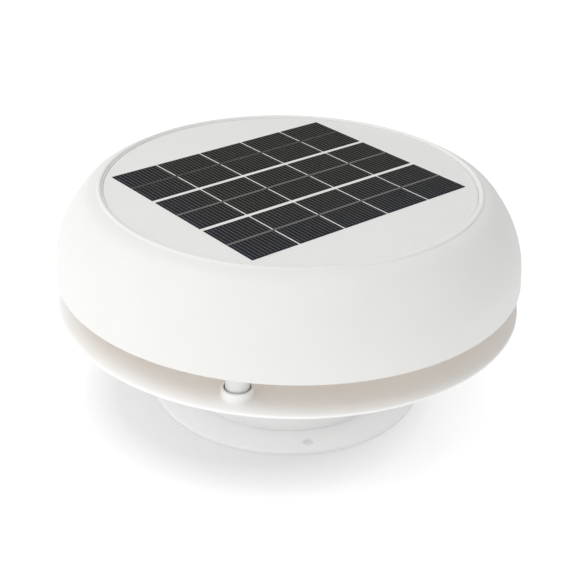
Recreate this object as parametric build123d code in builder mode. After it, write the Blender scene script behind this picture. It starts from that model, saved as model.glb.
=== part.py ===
from build123d import *
import os
from math import cos, radians, sin

# Solar attic fan: a round roof vent. A domed hood with a solar panel stands on three posts
# above a round tray, whose neck drops on to a flat mounting flange and locks with a short twist.
# Millimetres, +Z up, origin at the centre of the flange's underside. +X runs along the long
# side of the solar array.

os.makedirs("parts", exist_ok=True)

# ---- driving dimensions ----------------------------------------------------------------------

# mounting flange
flange_radius = 76.4
flange_thickness = 2.2
flange_bore = 50.0
screw_circle_diameter = 136.6
screw_hole_radius = 2.7
first_screw_angle = -119.4
screw_count = 4
socket_outer = 55.2
socket_wall = 2.6
socket_top = 16.0
ledge_height = 1.2

# twist lock between the flange's socket and the neck
lock_count = 3
lock_turn = 22.0
peg_low = 7.8
peg_high = 11.2
peg_width = 4.0
peg_tip_radius = 53.6
slot_slack = 0.4

# tray and neck
neck_radius = 58.0
neck_wall = 2.4
neck_foot = flange_thickness + 0.1
duct_top = 66.0
tray_radius = 125.6
tray_top = 59.8
tray_thickness = 2.6
drip_rib_radius = 119.2

# posts between tray and hood
post_count = 3
post_circle_radius = 112.8
first_post_angle = -141.7
post_radius = 5.8
post_top = 96.0
cup_outer = 7.9
cup_inner = 6.5
cup_height = 4.9

# hood
lip_radius = 125.7
lip_height = 75.6
hood_wall = 2.5
shoulder_radius = 101.9
shoulder_height = 121.6
bead_inner = 99.3
bead_outer = 101.7
bead_top = 122.7
roof_top = 118.4
roof_bottom = roof_top - hood_wall

# solar panel
panel_radius = 98.4
seal_thickness = 0.8
seal_outer = 97.0
seal_inner = 89.0
board_thickness = 2.3
cell_thickness = 0.2
ribbon_thickness = 0.1
cover_thickness = 0.3
cell_length = 27.78
cell_width = 38.6
cells_along = 5
cell_rows = 3
gap_along = 1.0
gap_across = 2.7
array_x = -1.0
array_y = 0.8
ribbon_width = 1.4

# motor and impeller
motor_radius = 12.2
motor_bottom = 67.0
motor_length = 28.0
end_cap_thickness = 2.8
pod_inner = 12.6
pod_outer = 15.2
pod_bottom = 64.5
pod_floor_hole = 3.4
pod_flange_radius = 31.0
pod_flange_top = 107.9
pod_flange_thickness = 3.0
pod_screw_circle = 25.0
shaft_radius = 1.15
shaft_low = 41.0
shaft_high = 98.2
hub_radius = 13.0
hub_low = 44.0
hub_high = 60.0
impeller_radius = 50.0
blade_count = 7
root_pitch = 42.0
root_chord = 15.0
tip_pitch = 24.0
tip_chord = 27.0

# small hardware
small_shank = 1.5
small_pilot = 1.55
small_hole = 1.7
small_head = 2.8
small_head_height = 2.0
motor_shank = 1.1
motor_head = 2.2
motor_head_height = 1.5
post_shank = 2.0
post_pilot = 2.05
post_hole = 2.2
post_head = 4.0
post_head_height = 2.5
wire_radius = 0.8
lead_hole_radius = 1.5

# control case, on the -Y side under the roof
control_y = -78.0
control_length = 60.0
control_width = 36.0
case_top = 112.0
control_bottom = 94.0
case_wall = 2.0
case_boss_radius = 4.0
ear_thickness = 3.0
ear_reach = 5.0
ear_width = 11.0
board_bottom = 104.0
circuit_thickness = 1.6
circuit_length = 52.0
circuit_width = 30.0
pillar_radius = 2.6
locating_pin_radius = 1.2
connector_length = 8.0
connector_width = 6.0
connector_height = 5.0
switch_y = -88.0
switch_low = 98.0
switch_travel = 3.5

# battery case, on the +Y side under the roof
battery_y = 77.0
battery_case_length = 76.0
battery_case_width = 25.0
battery_bottom = 88.0
battery_wall = 2.4
battery_radius = 9.2
battery_length = 65.0
battery_button_height = 1.0
battery_button_radius = 3.0
cover_top = 90.1
cover_travel = 9.0
cover_slack = 0.15
tongue_reach = 1.2
tongue_length = 8.0
tongue_places = [-28.0, -2.5, 22.0]

# ---- helpers ---------------------------------------------------------------------------------


def section(r_in, r_out, z_low, z_high, mode=Mode.ADD):
    """A rectangle of a turned profile, between two radii and two heights."""
    with Locations(((r_in + r_out) / 2, (z_low + z_high) / 2)):
        Rectangle(r_out - r_in, z_high - z_low, mode=mode)


def block(centre_x, centre_y, z_low, length, width, height, mode=Mode.ADD):
    """A box over a point, from a height upwards."""
    with Locations((centre_x, centre_y, z_low)):
        Box(length, width, height, align=(Align.CENTER, Align.CENTER, Align.MIN), mode=mode)


def rod(z_low, z_high, radius, mode=Mode.ADD):
    """An upright cylinder at the current place."""
    with Locations((0, 0, z_low)):
        Cylinder(radius, z_high - z_low, align=(Align.CENTER, Align.CENTER, Align.MIN), mode=mode)


def screw(seat, tip, shank, head, head_height):
    """A cross recess pan head screw at the current place, driven upwards from below its seat."""
    rod(seat, tip, shank)
    rod(seat - head_height, seat, head)
    recess = head_height / 2
    block(0, 0, seat - head_height, head * 1.2, head * 0.25, recess, mode=Mode.SUBTRACT)
    block(0, 0, seat - head_height, head * 0.25, head * 1.2, recess, mode=Mode.SUBTRACT)


def shoulder_points(inset):
    """Points down the hood's outer side, from its shoulder to its lip, moved inwards."""
    return [
        (shoulder_radius - inset, shoulder_height - inset),
        (106.2 - inset, 119.9 - inset),
        (115.1 - inset, 110.2 - inset),
        (123.8 - inset, 91.6 - inset / 2),
        (lip_radius - inset, lip_height),
    ]


def inside_of(curve, place, distance):
    """A point on the inner side of a curve that runs outwards and down."""
    along = curve % place
    return curve @ place + Vector(along.Y, -along.X) * distance


shoulder_tangents = [(1, -0.2), (0.1, -1)]
pod_screw_places = PolarLocations(pod_screw_circle, 3, start_angle=90)
control_ears = [(side * (control_length / 2 + ear_reach), control_y) for side in (-1, 1)]
battery_ears = [(side * (battery_case_length / 2 + ear_reach), battery_y) for side in (-1, 1)]
panel_lead_x = [-18.0, -14.0]
panel_lead_y = -80.0
motor_lead_x = [12.0, 16.0]
inner_lead_y = -68.0
battery_lead_x = [-30.0, -34.0]
lead_row_y = battery_y - 8.6
lead_exit_height = 107.5
connector_top = board_bottom + circuit_thickness + connector_height

# ---- mounting flange -------------------------------------------------------------------------

socket_inner = socket_outer - socket_wall
neck_inner = neck_radius - neck_wall
gasket_inner = neck_inner + 0.4
gasket_outer = neck_radius - 0.4
slot_middle = (socket_inner + socket_outer) / 2
slot_depth = 2 * socket_wall + 0.8

with BuildPart() as mounting_flange:
    with BuildSketch(Plane.XZ) as flange_profile:
        section(flange_bore, flange_radius, 0, ledge_height)
        section(socket_inner, flange_radius, ledge_height, flange_thickness)
        fillet(flange_profile.vertices().group_by(Axis.X)[-1].sort_by(Axis.Y)[-1], radius=1.0)
        section(socket_inner, socket_outer, flange_thickness, socket_top)
        section(gasket_inner - 0.1, gasket_outer + 0.1, ledge_height, flange_thickness, Mode.SUBTRACT)
    revolve(axis=Axis.Z)
    # the screw holes through the flange
    with PolarLocations(screw_circle_diameter / 2, screw_count, start_angle=first_screw_angle):
        rod(0, flange_thickness, screw_hole_radius, Mode.SUBTRACT)
    # the level run of each lock slot, and its way in from the top
    with BuildSketch(Plane.XY.offset(peg_low - slot_slack)):
        with PolarLocations(slot_middle, lock_count, start_angle=lock_turn / 2):
            Rectangle(slot_depth, 2 * slot_middle * sin(radians(lock_turn / 2 + 3.3)))
    extrude(amount=peg_high - peg_low + 2 * slot_slack, mode=Mode.SUBTRACT)
    with BuildSketch(Plane.XY.offset(peg_low - slot_slack)):
        with PolarLocations(slot_middle, lock_count, start_angle=lock_turn):
            Rectangle(slot_depth, peg_width + 2)
    extrude(amount=socket_top - peg_low + 1, mode=Mode.SUBTRACT)
mounting_flange.part.label = "mounting_flange"
export_step(mounting_flange.part, "parts/mounting_flange.step")

with BuildPart() as neck_gasket:
    with BuildSketch(Plane.XZ):
        section(gasket_inner, gasket_outer, ledge_height, flange_thickness)
    revolve(axis=Axis.Z)
neck_gasket.part.label = "neck_gasket"
export_step(neck_gasket.part, "parts/neck_gasket.step")

# ---- insect screen ---------------------------------------------------------------------------

screen_radius = socket_inner - 0.3
screen_thickness = 0.8
screen_pitch = 4.0
screen_hole = 3.1
screen_rows = int(screen_radius / screen_pitch)
screen_places = [
    (i * screen_pitch, j * screen_pitch)
    for i in range(-screen_rows, screen_rows + 1)
    for j in range(-screen_rows, screen_rows + 1)
    if (i * i + j * j) ** 0.5 * screen_pitch < flange_bore - 2.5
]

with BuildPart() as insect_screen:
    with BuildSketch(Plane.XY.offset(ledge_height)):
        Circle(screen_radius)
        with Locations(screen_places):
            Rectangle(screen_hole, screen_hole, mode=Mode.SUBTRACT)
    extrude(amount=screen_thickness)
insect_screen.part.label = "insect_screen"
export_step(insect_screen.part, "parts/insect_screen.step")

with BuildPart() as screen_retainer:
    with BuildSketch(Plane.XZ):
        retainer_low = ledge_height + screen_thickness
        section(flange_bore, socket_inner - 0.1, retainer_low, retainer_low + 2.4)
    revolve(axis=Axis.Z)
    chamfer(screen_retainer.edges().group_by(Axis.Z)[-1].sort_by(SortBy.RADIUS)[0], length=0.8)
screen_retainer.part.label = "screen_retainer"
export_step(screen_retainer.part, "parts/screen_retainer.step")

# ---- tray with its neck ----------------------------------------------------------------------

tray_bottom = tray_top - tray_thickness

with BuildPart() as base_tray:
    with BuildSketch(Plane.XZ) as tray_profile:
        section(neck_radius - 0.5, tray_radius, tray_bottom, tray_top)
        fillet(tray_profile.vertices().group_by(Axis.X)[-1], radius=1.2)
        section(neck_inner, neck_radius, neck_foot, duct_top)
        section(drip_rib_radius, drip_rib_radius + 1.6, tray_bottom - 1.6, tray_bottom)
    revolve(axis=Axis.Z)
    neck_roots = base_tray.edges().filter_by(GeomType.CIRCLE)
    neck_roots = neck_roots.filter_by(lambda e: abs(e.radius - neck_radius) < 0.01)
    fillet(neck_roots.filter_by(lambda e: tray_bottom - 0.1 < e.center().Z < tray_top + 0.1), radius=2)
    # a cup for the foot of each post, with its screw hole
    with BuildSketch(Plane.XY.offset(tray_top)):
        with PolarLocations(post_circle_radius, post_count, start_angle=first_post_angle):
            Circle(cup_outer)
    extrude(amount=cup_height)
    with PolarLocations(post_circle_radius, post_count, start_angle=first_post_angle):
        rod(tray_top, tray_top + cup_height, cup_inner, Mode.SUBTRACT)
        rod(tray_bottom, tray_top, post_hole, Mode.SUBTRACT)
    cup_rims = base_tray.edges().filter_by(GeomType.CIRCLE)
    cup_rims = cup_rims.filter_by(lambda e: abs(e.radius - cup_outer) < 0.01)
    fillet(cup_rims.filter_by(lambda e: e.center().Z > tray_top + 1), radius=0.6)
    # the pegs of the twist lock, on the inside of the neck
    with BuildSketch(Plane.XY.offset(peg_low)):
        peg_middle = (peg_tip_radius + neck_inner + 0.6) / 2
        with PolarLocations(peg_middle, lock_count):
            Rectangle(neck_inner + 0.6 - peg_tip_radius, peg_width)
    extrude(amount=peg_high - peg_low)
base_tray.part.label = "base_tray"
export_step(base_tray.part, "parts/base_tray.step")

with BuildPart() as standoff_posts:
    with PolarLocations(post_circle_radius, post_count, start_angle=first_post_angle):
        rod(tray_top, post_top, post_radius)
        rod(tray_top, post_top, post_hole, Mode.SUBTRACT)
standoff_posts.part.label = "standoff_posts"
export_step(standoff_posts.part, "parts/standoff_posts.step")

post_screw_tip = post_top + 9.0

with BuildPart() as post_screws:
    with PolarLocations(post_circle_radius, post_count, start_angle=first_post_angle):
        screw(tray_bottom, post_screw_tip, post_shank, post_head, post_head_height)
post_screws.part.label = "post_screws"
export_step(post_screws.part, "parts/post_screws.step")

# ---- hood ------------------------------------------------------------------------------------

with BuildPart() as top_hood:
    # bosses over the posts, trimmed to the inside of the shoulder
    with BuildSketch(Plane.XY.offset(post_top)):
        with PolarLocations(post_circle_radius, post_count, start_angle=first_post_angle):
            Circle(post_radius + 0.6)
    extrude(amount=roof_top - post_top)
    with BuildSketch(Plane.XZ):
        with BuildLine():
            trim = Spline(shoulder_points(1.0), tangents=shoulder_tangents)
            Polyline(trim @ 1, (0, lip_height), (0, (trim @ 0).Y), trim @ 0)
        make_face()
    revolve(axis=Axis.Z, mode=Mode.INTERSECT)
    # one wall: a roof sunk inside a raised bead, and a shoulder that curves down to the lip
    with BuildSketch(Plane.XZ) as roof_profile:
        section(bead_inner, bead_outer, roof_bottom, bead_top)
        fillet(roof_profile.vertices().group_by(Axis.Y)[-1], radius=1.1)
        section(0, bead_outer - 0.5, roof_bottom, roof_top)
        with BuildLine():
            outer = Spline(shoulder_points(0), tangents=shoulder_tangents)
            inner = Spline([inside_of(outer, t, hood_wall) for t in (0, 0.15, 0.35, 0.7, 1)])
            Line(outer @ 0, inner @ 0)
            Line(outer @ 1, inner @ 1)
        make_face()
    revolve(axis=Axis.Z)
    with PolarLocations(post_circle_radius, post_count, start_angle=first_post_angle):
        rod(post_top, post_screw_tip + 0.5, post_pilot, Mode.SUBTRACT)
    # bosses for the motor pod and the two cases
    with pod_screw_places:
        rod(pod_flange_top, roof_bottom, 3.5)
        rod(pod_flange_top, roof_bottom, small_pilot, Mode.SUBTRACT)
    with Locations(control_ears + battery_ears):
        rod(case_top, roof_bottom, case_boss_radius)
        rod(case_top, roof_bottom, small_pilot, Mode.SUBTRACT)
    # the hole where the panel's leads come through the roof
    block(sum(panel_lead_x) / 2, panel_lead_y, roof_bottom, 10, 5, hood_wall, Mode.SUBTRACT)
top_hood.part.label = "top_hood"
export_step(top_hood.part, "parts/top_hood.step")

# ---- solar panel -----------------------------------------------------------------------------

board_low = roof_top + seal_thickness
board_high = board_low + board_thickness
cell_high = board_high + cell_thickness
ribbon_high = cell_high + ribbon_thickness
row_pitch = cell_width + gap_across
array_length = cells_along * cell_length + (cells_along - 1) * gap_along

with BuildPart() as panel_seal:
    with BuildSketch(Plane.XY.offset(roof_top)):
        Circle(seal_outer)
        Circle(seal_inner, mode=Mode.SUBTRACT)
    extrude(amount=seal_thickness)
panel_seal.part.label = "panel_seal"
export_step(panel_seal.part, "parts/panel_seal.step")

with BuildPart() as panel_board:
    with BuildSketch(Plane.XY.offset(board_low)):
        Circle(panel_radius)
    extrude(amount=board_thickness)
panel_board.part.label = "panel_board"
export_step(panel_board.part, "parts/panel_board.step")

with BuildPart() as solar_cells:
    with BuildSketch(Plane.XY.offset(board_high)):
        with Locations((array_x, array_y)):
            with GridLocations(cell_length + gap_along, row_pitch, cells_along, cell_rows):
                Rectangle(cell_length, cell_width)
    extrude(amount=cell_thickness)
solar_cells.part.label = "solar_cells"
export_step(solar_cells.part, "parts/solar_cells.step")

with BuildPart() as cell_ribbons:
    with BuildSketch(Plane.XY.offset(cell_high)):
        with Locations((array_x, array_y)):
            with GridLocations(0, row_pitch, 1, cell_rows):
                Rectangle(array_length, ribbon_width)
    extrude(amount=ribbon_thickness)
cell_ribbons.part.label = "cell_ribbons"
export_step(cell_ribbons.part, "parts/cell_ribbons.step")

with BuildPart() as panel_cover:
    with BuildSketch(Plane.XY.offset(ribbon_high)):
        Circle(panel_radius)
    extrude(amount=cover_thickness)
panel_cover.part.label = "panel_cover"
export_step(panel_cover.part, "parts/panel_cover.step")

# ---- motor pod and motor ---------------------------------------------------------------------

motor_top = motor_bottom + motor_length
cap_top = motor_top + end_cap_thickness
motor_screw_radius = 8.0
pod_flange_low = pod_flange_top - pod_flange_thickness

with BuildPart() as motor_pod:
    with BuildSketch(Plane.XZ) as pod_profile:
        section(pod_floor_hole, pod_outer, pod_bottom, motor_bottom)
        fillet(pod_profile.vertices().sort_by(Axis.X)[-2:].sort_by(Axis.Y)[0], radius=1.5)
        section(pod_inner, pod_outer, motor_bottom, pod_flange_top)
        section(pod_outer, pod_flange_radius, pod_flange_low, pod_flange_top)
    revolve(axis=Axis.Z)
    with pod_screw_places:
        rod(pod_flange_low, pod_flange_top, small_hole, Mode.SUBTRACT)
    with PolarLocations(motor_screw_radius, 2):
        rod(pod_bottom, motor_bottom, motor_shank + 0.2, Mode.SUBTRACT)
motor_pod.part.label = "motor_pod"
export_step(motor_pod.part, "parts/motor_pod.step")

with BuildPart() as pod_screws:
    with pod_screw_places:
        screw(pod_flange_low, roof_bottom - 1, small_shank, small_head, small_head_height)
pod_screws.part.label = "pod_screws"
export_step(pod_screws.part, "parts/pod_screws.step")

bush_outer = 2.5
bush_seat = bush_outer + 0.05
bush_bore = shaft_radius + 0.03
can_wall = 0.9
can_nose_radius = 3.2
nose_height = 1.8

with BuildPart() as motor_can:
    with BuildSketch(Plane.XZ):
        section(bush_seat, motor_radius, motor_bottom, motor_bottom + can_wall)
        section(motor_radius - can_wall, motor_radius, motor_bottom, motor_top)
        section(bush_seat, can_nose_radius, motor_bottom - nose_height, motor_bottom)
    revolve(axis=Axis.Z)
    with PolarLocations(motor_screw_radius, 2):
        rod(motor_bottom, motor_bottom + can_wall, motor_shank + 0.05, Mode.SUBTRACT)
motor_can.part.label = "motor_can"
export_step(motor_can.part, "parts/motor_can.step")

with BuildPart() as motor_end_cap:
    with BuildSketch(Plane.XZ):
        section(bush_seat, motor_radius, motor_top, cap_top)
    revolve(axis=Axis.Z)
motor_end_cap.part.label = "motor_end_cap"
export_step(motor_end_cap.part, "parts/motor_end_cap.step")

with BuildPart() as motor_bushes:
    with BuildSketch(Plane.XZ):
        section(bush_bore, bush_outer, motor_bottom - nose_height, motor_bottom + 2)
        section(bush_bore, bush_outer, motor_top, cap_top)
    revolve(axis=Axis.Z)
motor_bushes.part.label = "motor_bushes"
export_step(motor_bushes.part, "parts/motor_bushes.step")

magnet_outer = motor_radius - can_wall - 0.1
magnet_inner = 9.2
magnet_gap = 8.0
magnet_length = 21.0

with BuildPart() as motor_magnets:
    with BuildSketch(Plane.XY.offset(motor_bottom + 4)):
        Circle(magnet_outer)
        Circle(magnet_inner, mode=Mode.SUBTRACT)
        Rectangle(2 * motor_radius, magnet_gap, mode=Mode.SUBTRACT)
    extrude(amount=magnet_length)
motor_magnets.part.label = "motor_magnets"
export_step(motor_magnets.part, "parts/motor_magnets.step")

terminal_x = [-8.0, 8.0]

with BuildPart() as motor_terminals:
    for x in terminal_x:
        block(x, 0, cap_top, 0.6, 3, 5)
motor_terminals.part.label = "motor_terminals"
export_step(motor_terminals.part, "parts/motor_terminals.step")

with BuildPart() as motor_screws:
    with PolarLocations(motor_screw_radius, 2):
        screw(pod_bottom, motor_bottom + can_wall + 0.6, motor_shank, motor_head, motor_head_height)
motor_screws.part.label = "motor_screws"
export_step(motor_screws.part, "parts/motor_screws.step")

# ---- rotor and impeller ----------------------------------------------------------------------

with BuildPart() as motor_shaft:
    rod(shaft_low, shaft_high, shaft_radius)
    chamfer(motor_shaft.edges().group_by(Axis.Z)[0], length=0.4)
motor_shaft.part.label = "motor_shaft"
export_step(motor_shaft.part, "parts/motor_shaft.step")

armature_radius = 8.6
winding_radius = 5.6
winding_low = motor_bottom + 4.5
winding_high = motor_bottom + 21.5
commutator_radius = 2.6

with BuildPart() as motor_rotor:
    # three-pole armature, its windings, and the commutator above them
    with BuildSketch(Plane.XY.offset(motor_bottom + 6)):
        Circle(armature_radius)
        with PolarLocations(armature_radius - 1.6, 3, start_angle=60):
            Rectangle(4.4, 2.2, mode=Mode.SUBTRACT)
    extrude(amount=14)
    rod(winding_low, winding_high, winding_radius)
    rod(winding_high, motor_top - 1, commutator_radius)
    rod(motor_bottom, motor_top, shaft_radius + 0.05, Mode.SUBTRACT)
motor_rotor.part.label = "motor_rotor"
export_step(motor_rotor.part, "parts/motor_rotor.step")


def blade_outline(chord, camber, thickness):
    """The closed outline of a cambered blade section, centred on its chord."""
    half = chord / 2
    ThreePointArc((-half, 0), (0, camber), (half, 0))
    Line((half, 0), (half, thickness))
    ThreePointArc((half, thickness), (0, camber + thickness), (-half, thickness))
    Line((-half, thickness), (-half, 0))


def blade_plane(radius, pitch):
    """The plane across a blade at a radius, turned by the blade's pitch there."""
    lean = (0, cos(radians(pitch)), sin(radians(pitch)))
    return Plane(origin=(radius, 0, (hub_low + hub_high) / 2), x_dir=lean, z_dir=(1, 0, 0))


with BuildPart() as blade:
    with BuildSketch(blade_plane(hub_radius - 1.5, root_pitch)):
        with BuildLine():
            blade_outline(root_chord, 2.0, 1.6)
        make_face()
    with BuildSketch(blade_plane(impeller_radius + 2, tip_pitch)):
        with BuildLine():
            blade_outline(tip_chord, 2.6, 1.2)
        make_face()
    loft()
    with Locations((0, 0, hub_low)):
        Cylinder(impeller_radius, 40, mode=Mode.INTERSECT)

with BuildPart() as impeller:
    rod(hub_low, hub_high, hub_radius)
    fillet(impeller.edges().group_by(Axis.Z)[0], radius=4)
    with PolarLocations(0, blade_count):
        add(blade.part)
    rod(hub_low, hub_high, shaft_radius + 0.05, Mode.SUBTRACT)
impeller.part.label = "impeller"
export_step(impeller.part, "parts/impeller.step")

with BuildPart() as impeller_nut:
    with BuildSketch(Plane.XY.offset(shaft_low + 0.6)):
        RegularPolygon(4.0, 6)
        Circle(shaft_radius + 0.05, mode=Mode.SUBTRACT)
    extrude(amount=hub_low - shaft_low - 0.6)
impeller_nut.part.label = "impeller_nut"
export_step(impeller_nut.part, "parts/impeller_nut.step")

# ---- control case, circuit board and switch --------------------------------------------------

pillar_x = circuit_length / 2 - 4
pillar_y = circuit_width / 2 - 3
pillar_places = [(x, control_y + y) for x in (-pillar_x, pillar_x) for y in (-pillar_y, pillar_y)]
circuit_top = board_bottom + circuit_thickness
control_height = case_top - control_bottom
control_floor = control_bottom + case_wall
control_bay_length = control_length - 2 * case_wall
control_bay_width = control_width - 2 * case_wall
window_length = 9.0
window_width = 4.4

with BuildPart() as control_case:
    block(0, control_y, control_bottom, control_length, control_width, control_height)
    fillet(control_case.edges().filter_by(Axis.Z), radius=3)
    fillet(control_case.edges().group_by(Axis.Z)[0], radius=1.2)
    with Locations(control_ears):
        block(0, 0, case_top - ear_thickness, 2 * ear_reach + 2, ear_width, ear_thickness)
        rod(case_top - ear_thickness, case_top, small_hole, Mode.SUBTRACT)
    bay = control_bay_length, control_bay_width, control_height
    block(0, control_y, control_floor, *bay, Mode.SUBTRACT)
    with Locations(pillar_places):
        rod(control_floor, board_bottom, pillar_radius)
        rod(board_bottom, circuit_top + 0.8, locating_pin_radius)
    # the window that the switch's button comes through
    block(0, switch_y, control_bottom, window_length, window_width, case_wall, Mode.SUBTRACT)
control_case.part.label = "control_case"
export_step(control_case.part, "parts/control_case.step")

with BuildPart() as case_screws:
    with Locations(control_ears + battery_ears):
        screw(case_top - ear_thickness, roof_bottom - 0.4, small_shank, small_head, small_head_height)
case_screws.part.label = "case_screws"
export_step(case_screws.part, "parts/case_screws.step")

with BuildPart() as circuit_board:
    block(0, control_y, board_bottom, circuit_length, circuit_width, circuit_thickness)
    with Locations(pillar_places):
        rod(board_bottom, circuit_top, locating_pin_radius + 0.1, Mode.SUBTRACT)
circuit_board.part.label = "circuit_board"
export_step(circuit_board.part, "parts/circuit_board.step")

connector_size = connector_length, connector_width, connector_height

with BuildPart() as board_components:
    # connectors for the panel, the battery and the motor
    block(sum(panel_lead_x) / 2, panel_lead_y, circuit_top, *connector_size)
    block(sum(panel_lead_x) / 2, inner_lead_y, circuit_top, *connector_size)
    block(sum(motor_lead_x) / 2, inner_lead_y, circuit_top, *connector_size)
    # charge controller, inductor and capacitor
    block(0, control_y + 5, circuit_top, 6, 5, 1.6)
    with Locations((14, control_y - 5)):
        rod(circuit_top, circuit_top + 4.5, 5)
    with Locations((2, control_y - 7)):
        rod(circuit_top, circuit_top + 7, 3.2)
board_components.part.label = "board_components"
export_step(board_components.part, "parts/board_components.step")

slider_x = -switch_travel / 2
button_low = control_bottom - 2.0
button_length = 3.6
button_width = 3.0
foot_length = 5.0
foot_low = switch_low + 0.2
foot_height = 2.4

with BuildPart() as switch_body:
    block(0, switch_y, switch_low, 13, 7, board_bottom - switch_low)
    foot_run = foot_length + switch_travel + 0.9
    block(0, switch_y, switch_low, foot_run, button_width + 0.4, foot_height + 0.8, Mode.SUBTRACT)
switch_body.part.label = "switch_body"
export_step(switch_body.part, "parts/switch_body.step")

with BuildPart() as switch_button:
    block(slider_x, switch_y, button_low, button_length, button_width, foot_low - button_low + 0.4)
    block(slider_x, switch_y, foot_low, foot_length, button_width, foot_height)
    with BuildSketch(Plane.XY.offset(button_low)):
        with Locations((slider_x, switch_y)):
            with GridLocations(1.1, 0, 3, 1):
                Rectangle(0.4, button_width)
    extrude(amount=0.3, mode=Mode.SUBTRACT)
switch_button.part.label = "switch_button"
export_step(switch_button.part, "parts/switch_button.step")

# ---- battery case ----------------------------------------------------------------------------

battery_height = case_top - battery_bottom
bay_length = battery_case_length - 2 * battery_wall
bay_width = battery_case_width - 2 * battery_wall
bay_height = battery_height - 2.0
tongue_low = battery_bottom + 1.0
tongue_width = bay_width + 2 * tongue_reach
groove_low = tongue_low - cover_slack
groove_height = cover_top + cover_slack - groove_low
groove_width = tongue_width + 2 * cover_slack
ledge = groove_low - battery_bottom

with BuildPart() as battery_case:
    block(0, battery_y, battery_bottom, battery_case_length, battery_case_width, battery_height)
    fillet(battery_case.edges().filter_by(Axis.Z), radius=2)
    with Locations(battery_ears):
        block(0, 0, case_top - ear_thickness, 2 * ear_reach + 2, ear_width, ear_thickness)
        rod(case_top - ear_thickness, case_top, small_hole, Mode.SUBTRACT)
    block(0, battery_y, battery_bottom, bay_length, bay_width, bay_height, Mode.SUBTRACT)
    # grooves for the cover's tongues, and the gaps that let the tongues drop once it has slid
    block(0, battery_y, groove_low, bay_length, groove_width, groove_height, Mode.SUBTRACT)
    for x in tongue_places:
        gap_x = x + cover_travel
        gap_length = tongue_length + 4 * cover_slack
        block(gap_x, battery_y, battery_bottom, gap_length, groove_width, ledge, Mode.SUBTRACT)
    # the way out for the cover through the +X end
    end_x = battery_case_length / 2
    way_height = groove_height + ledge
    block(end_x, battery_y, battery_bottom, 2 * battery_wall, bay_width, way_height, Mode.SUBTRACT)
    # two holes for the leads
    with Locations([(x, battery_y - battery_case_width / 2, lead_exit_height) for x in battery_lead_x]):
        Cylinder(lead_hole_radius, 8, rotation=(90, 0, 0), mode=Mode.SUBTRACT)
battery_case.part.label = "battery_case"
export_step(battery_case.part, "parts/battery_case.step")

with BuildPart() as battery_cover:
    cover_length = battery_case_length - battery_wall - 2 * cover_slack
    cover_width = bay_width - 2 * cover_slack
    cover_height = cover_top - battery_bottom
    block(battery_wall / 2, battery_y, battery_bottom, cover_length, cover_width, cover_height)
    for x in tongue_places:
        block(x, battery_y, tongue_low, tongue_length, tongue_width, cover_top - tongue_low)
    # finger ridges near the open end
    with BuildSketch(Plane.XY.offset(battery_bottom)):
        with Locations((battery_case_length / 2 - 10, battery_y)):
            with GridLocations(2.4, 0, 4, 1):
                Rectangle(1.0, 12)
    extrude(amount=0.5, mode=Mode.SUBTRACT)
battery_cover.part.label = "battery_cover"
export_step(battery_cover.part, "parts/battery_cover.step")

battery_axis_height = cover_top + 0.3 + battery_radius

with BuildPart() as battery_cell:
    with BuildSketch(Plane.YZ.offset(-battery_length / 2)):
        with Locations((battery_y, battery_axis_height)):
            Circle(battery_radius)
    extrude(amount=battery_length - battery_button_height)
    fillet(battery_cell.edges().filter_by(GeomType.CIRCLE), radius=0.8)
    with BuildSketch(Plane.YZ.offset(battery_length / 2 - battery_button_height)):
        with Locations((battery_y, battery_axis_height)):
            Circle(battery_button_radius)
    extrude(amount=battery_button_height)
battery_cell.part.label = "battery_cell"
export_step(battery_cell.part, "parts/battery_cell.step")

with BuildPart() as battery_plate:
    with Locations((bay_length / 2 - 0.25, battery_y, battery_axis_height)):
        Box(0.5, 12, 10)
    with Locations((bay_length / 2 - 1.5, battery_y, battery_axis_height)):
        Cylinder(2.5, 2.4, rotation=(0, 90, 0))
battery_plate.part.label = "battery_plate"
export_step(battery_plate.part, "parts/battery_plate.step")

with BuildPart() as battery_spring:
    # a folded leaf that bears on the flat end of the battery
    with BuildSketch(Plane.XZ.offset(-battery_y - 4)):
        with BuildLine():
            leaf_x = -bay_length / 2
            leaf_low = battery_axis_height - 5
            Polyline(
                (leaf_x + 0.3, leaf_low),
                (leaf_x + 0.3, leaf_low + 10),
                (leaf_x + 2.4, leaf_low + 6),
                (leaf_x + 1.2, leaf_low + 1),
            )
            offset(amount=0.2, kind=Kind.INTERSECTION)
        make_face()
    extrude(amount=8)
battery_spring.part.label = "battery_spring"
export_step(battery_spring.part, "parts/battery_spring.step")

# ---- wiring ----------------------------------------------------------------------------------

with BuildPart() as panel_leads:
    for x in panel_lead_x:
        with Locations((x, panel_lead_y)):
            rod(connector_top, board_low, wire_radius)
panel_leads.part.label = "panel_leads"
export_step(panel_leads.part, "parts/panel_leads.step")

wire_level = case_top + 1.9

with BuildPart() as battery_leads:
    for start_x, exit_x, x in zip((34.0, -34.0), battery_lead_x, reversed(panel_lead_x)):
        # the first lead runs back along the battery from its far end
        inside = [(start_x, lead_row_y, lead_exit_height)]
        inside_radius = []
        if start_x != exit_x:
            inside.append((exit_x, lead_row_y, lead_exit_height))
            inside_radius.append(2)
        with BuildLine() as route:
            FilletPolyline(
                *inside,
                (exit_x, battery_y - 21, lead_exit_height),
                (exit_x, battery_y - 33, wire_level),
                (exit_x, -40, wire_level),
                (x, inner_lead_y, wire_level),
                (x, inner_lead_y, connector_top),
                radius=inside_radius + [10, 10, 8, 1.6],
            )
        with BuildSketch(Plane(origin=route.wire() @ 0, z_dir=route.wire() % 0)):
            Circle(wire_radius)
        sweep()
battery_leads.part.label = "battery_leads"
export_step(battery_leads.part, "parts/battery_leads.step")

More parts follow.
